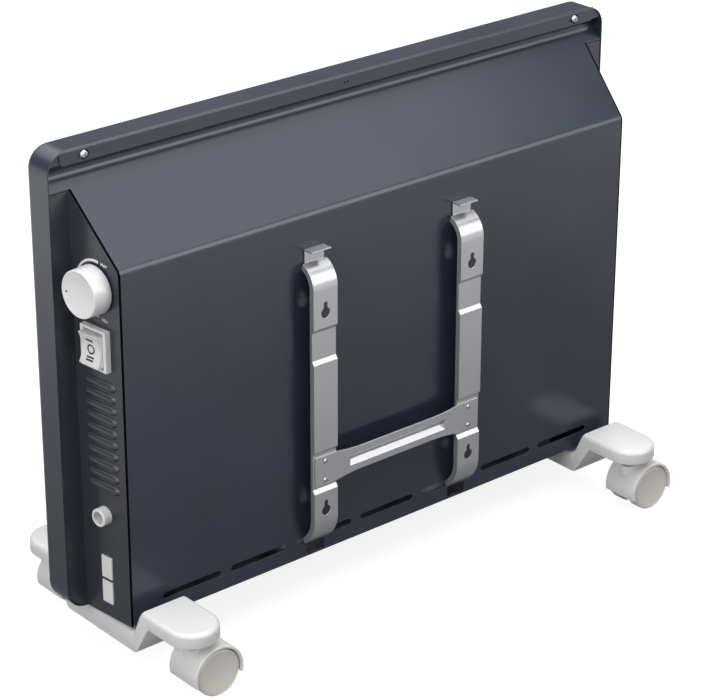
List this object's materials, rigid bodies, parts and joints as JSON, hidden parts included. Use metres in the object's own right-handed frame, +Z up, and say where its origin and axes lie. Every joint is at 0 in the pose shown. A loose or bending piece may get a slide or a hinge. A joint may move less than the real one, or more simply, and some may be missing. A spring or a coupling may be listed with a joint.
{
  "type": "panel convector heater",
  "caption": "Panel convector heater with a flat front, ridged rear casing, side thermostat knob and rocker switch, clip-on wall bracket and castor feet.",
  "frame": {"origin": "on the floor, at the centre of the footprint's bounding box", "axes": "+Z up, +X along the width with the controls at +X, +Y towards the back with the wall bracket"},
  "size_m": [0.59, 0.2336, 0.4411],
  "materials": {
    "enclosure_paint": "satin dark grey powder coat",
    "grille_paint": "matt near-black powder coat",
    "white_plastic": "semi-gloss white",
    "wheel_plastic": "satin warm grey",
    "ivory_plastic": "matt ivory",
    "black_plastic": "matt black",
    "steatite": "matt cream ceramic",
    "zinc": "bright zinc plate",
    "zinc_sheet": "satin zinc-plated sheet",
    "galvanised_sheet": "galvanised sheet",
    "element_metal": "dull extruded aluminium"
  },
  "bodies": {
    "heater": {"front_panel": "enclosure_paint", "outlet_grille": "grille_paint", "rear_casing": "enclosure_paint", "control_end_wall": "enclosure_paint", "plain_end_wall": "enclosure_paint", "inlet_plate": "galvanised_sheet", "lip_screws": "zinc", "air_duct": "galvanised_sheet", "duct_screws": "zinc", "heating_element": "element_metal", "element_bracket_left": "galvanised_sheet", "element_bracket_right": "galvanised_sheet", "element_insulators": "steatite", "thermal_cutout": "black_plastic", "thermostat_body": "ivory_plastic", "thermostat_screws": "zinc", "switch_body": "white_plastic", "cable_bush": "white_plastic", "upper_blanking_cap": "white_plastic", "lower_blanking_cap": "white_plastic", "terminal_block": "steatite", "tip_over_switch": "black_plastic", "bracket_upright_left": "zinc_sheet", "bracket_upright_right": "zinc_sheet", "bracket_cross_bar": "zinc_sheet", "bracket_screws": "zinc", "foot_left": "white_plastic", "foot_right": "white_plastic", "foot_screws": "zinc", "rear_left_castor_stem": "zinc", "rear_right_castor_stem": "zinc", "front_left_castor_stem": "zinc", "front_right_castor_stem": "zinc"},
    "knob": {"thermostat_knob": "white_plastic", "thermostat_spindle": "zinc"},
    "rocker": {"switch_rocker": "white_plastic"},
    "rear_left_castor": {"rear_left_castor_hood": "white_plastic", "rear_left_castor_axle": "zinc"},
    "rear_left_back_wheel": {"rear_left_back_wheel": "wheel_plastic"},
    "rear_left_front_wheel": {"rear_left_front_wheel": "wheel_plastic"},
    "rear_right_castor": {"rear_right_castor_hood": "white_plastic", "rear_right_castor_axle": "zinc"},
    "rear_right_back_wheel": {"rear_right_back_wheel": "wheel_plastic"},
    "rear_right_front_wheel": {"rear_right_front_wheel": "wheel_plastic"},
    "front_left_castor": {"front_left_castor_hood": "white_plastic", "front_left_castor_axle": "zinc"},
    "front_left_back_wheel": {"front_left_back_wheel": "wheel_plastic"},
    "front_left_front_wheel": {"front_left_front_wheel": "wheel_plastic"},
    "front_right_castor": {"front_right_castor_hood": "white_plastic", "front_right_castor_axle": "zinc"},
    "front_right_back_wheel": {"front_right_back_wheel": "wheel_plastic"},
    "front_right_front_wheel": {"front_right_front_wheel": "wheel_plastic"}
  },
  "joints": [
    {"name": "thermostat_turn", "type": "hinge", "parent": "heater", "child": "knob", "pos_m": [0.27298, 0.01825, 0.336], "axis": [0.9949, 0.101, 0], "range_deg": [-90, 90]},
    {"name": "switch_rock", "type": "hinge", "parent": "heater", "child": "rocker", "pos_m": [0.26908, 0.0171, 0.2865], "axis": [-0.101, 0.9949, 0], "range_deg": [-10, 10]},
    {"name": "rear_left_castor_swivel", "type": "hinge", "parent": "heater", "child": "rear_left_castor", "pos_m": [0.2472, 0.09425, 0.0425], "axis": [0, 0, 1], "continuous": true},
    {"name": "rear_left_back_wheel_spin", "type": "hinge", "parent": "rear_left_castor", "child": "rear_left_back_wheel", "pos_m": [0.2334, 0.09425, 0.0205], "axis": [0, 1, 0], "continuous": true},
    {"name": "rear_left_front_wheel_spin", "type": "hinge", "parent": "rear_left_castor", "child": "rear_left_front_wheel", "pos_m": [0.2334, 0.09425, 0.0205], "axis": [0, 1, 0], "continuous": true},
    {"name": "rear_right_castor_swivel", "type": "hinge", "parent": "heater", "child": "rear_right_castor", "pos_m": [-0.2472, 0.09425, 0.0425], "axis": [0, 0, 1], "continuous": true},
    {"name": "rear_right_back_wheel_spin", "type": "hinge", "parent": "rear_right_castor", "child": "rear_right_back_wheel", "pos_m": [-0.261, 0.09425, 0.0205], "axis": [0, 1, 0], "continuous": true},
    {"name": "rear_right_front_wheel_spin", "type": "hinge", "parent": "rear_right_castor", "child": "rear_right_front_wheel", "pos_m": [-0.261, 0.09425, 0.0205], "axis": [0, 1, 0], "continuous": true},
    {"name": "front_left_castor_swivel", "type": "hinge", "parent": "heater", "child": "front_left_castor", "pos_m": [0.2472, -0.09425, 0.0425], "axis": [0, 0, 1], "continuous": true},
    {"name": "front_left_back_wheel_spin", "type": "hinge", "parent": "front_left_castor", "child": "front_left_back_wheel", "pos_m": [0.2334, -0.09425, 0.0205], "axis": [0, 1, 0], "continuous": true},
    {"name": "front_left_front_wheel_spin", "type": "hinge", "parent": "front_left_castor", "child": "front_left_front_wheel", "pos_m": [0.2334, -0.09425, 0.0205], "axis": [0, 1, 0], "continuous": true},
    {"name": "front_right_castor_swivel", "type": "hinge", "parent": "heater", "child": "front_right_castor", "pos_m": [-0.2472, -0.09425, 0.0425], "axis": [0, 0, 1], "continuous": true},
    {"name": "front_right_back_wheel_spin", "type": "hinge", "parent": "front_right_castor", "child": "front_right_back_wheel", "pos_m": [-0.261, -0.09425, 0.0205], "axis": [0, 1, 0], "continuous": true},
    {"name": "front_right_front_wheel_spin", "type": "hinge", "parent": "front_right_castor", "child": "front_right_front_wheel", "pos_m": [-0.261, -0.09425, 0.0205], "axis": [0, 1, 0], "continuous": true}
  ]
}
